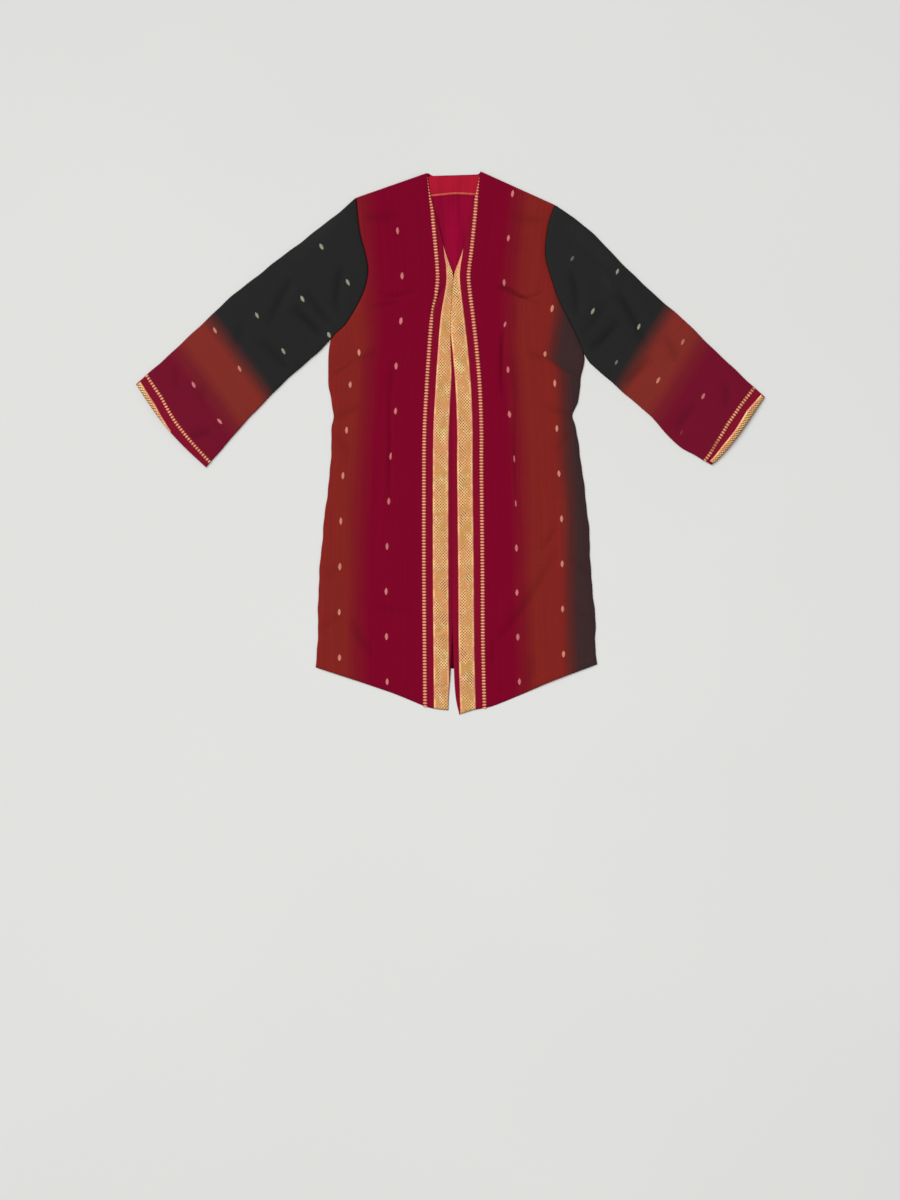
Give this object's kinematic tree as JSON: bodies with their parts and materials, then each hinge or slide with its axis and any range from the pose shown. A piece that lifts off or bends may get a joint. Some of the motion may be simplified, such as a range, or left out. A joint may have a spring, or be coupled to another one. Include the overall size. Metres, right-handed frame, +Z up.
{
  "type": "kebaya blouse laid flat",
  "caption": "Long-sleeved open-front kebaya blouse laid flat, crimson-to-black shaded brocade with a woven gold border down the fronts and at the cuffs.",
  "frame": {"origin": "under the middle of the whole outline, on the surface the blouse lies on", "axes": "+X to the wearer's left along the sleeves' span, +Y from the hem to the neck, +Z up from the surface"},
  "size_m": [1.194, 1.032, 0.008],
  "materials": {
    "brocade": "soft satin sheen, crimson shading through rust to near black, small woven oval flowers",
    "gold_band": "woven metal thread in a fine diamond twill, low metallic sheen",
    "ladder_line": "pinkish gold thread rungs, low metallic sheen",
    "facing": "plain bright red silk",
    "edging": "narrow dull gold edging, low sheen",
    "lining": "plain raspberry lining, soft sheen"
  },
  "bodies": {
    "root": {"back": "brocade", "front_left": "brocade", "front_right": "brocade", "sleeve_left": "brocade", "sleeve_right": "brocade", "neck_facing": "facing", "neck_facing_edging": "edging", "back_lining": "lining", "front_band_left": "gold_band", "front_band_right": "gold_band", "front_ladder_left": "ladder_line", "front_ladder_right": "ladder_line", "cuff_band_left": "gold_band", "cuff_band_right": "gold_band", "cuff_ladder_left": "ladder_line", "cuff_ladder_right": "ladder_line"}
  },
  "joints": []
}
